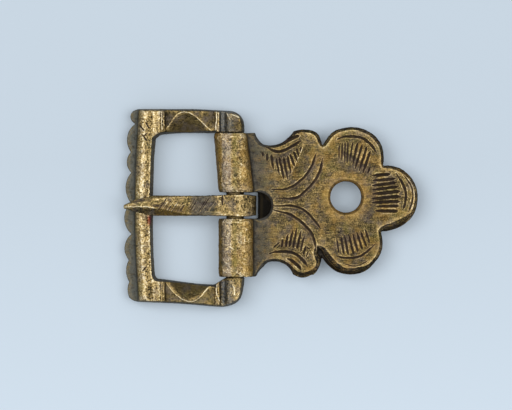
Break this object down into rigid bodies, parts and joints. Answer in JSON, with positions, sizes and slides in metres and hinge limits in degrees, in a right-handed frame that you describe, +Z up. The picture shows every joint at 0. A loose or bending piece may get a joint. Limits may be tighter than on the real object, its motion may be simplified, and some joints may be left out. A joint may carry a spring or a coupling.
{
  "type": "strap buckle",
  "caption": "Cast strap buckle with a moulded square frame, a hinged pin on its own bar and a folded, petal-ended plate with a rivet hole.",
  "frame": {"origin": "centre of the footprint on the table, at the height of the table", "axes": "+X along the strap from the frame's front bar to the plate's end petal, +Y across the strap, +Z up out of the decorated face"},
  "size_m": [0.0498, 0.0336, 0.0056],
  "materials": {
    "frame_bronze": "cast, worn and pitted, brown patina in the hollows",
    "pin_bronze": "hammered and filed, worn bright on the edges",
    "plate_bronze": "sheet, engraved, brushed by wear, dark in the cuts"
  },
  "bodies": {
    "plate": {"plate": "plate_bronze"},
    "frame": {"frame": "frame_bronze"},
    "pin": {"pin": "pin_bronze"}
  },
  "joints": [
    {"name": "frame_hinge", "type": "hinge", "parent": "plate", "child": "frame", "pos_m": [-0.00603, 0.00047, 0.0028], "axis": [0, 1, 0], "range_deg": [-90, 40]},
    {"name": "pin_hinge", "type": "hinge", "parent": "frame", "child": "pin", "pos_m": [-0.00603, 0.00047, 0.0028], "axis": [0, 1, 0], "range_deg": [0, 90]}
  ]
}
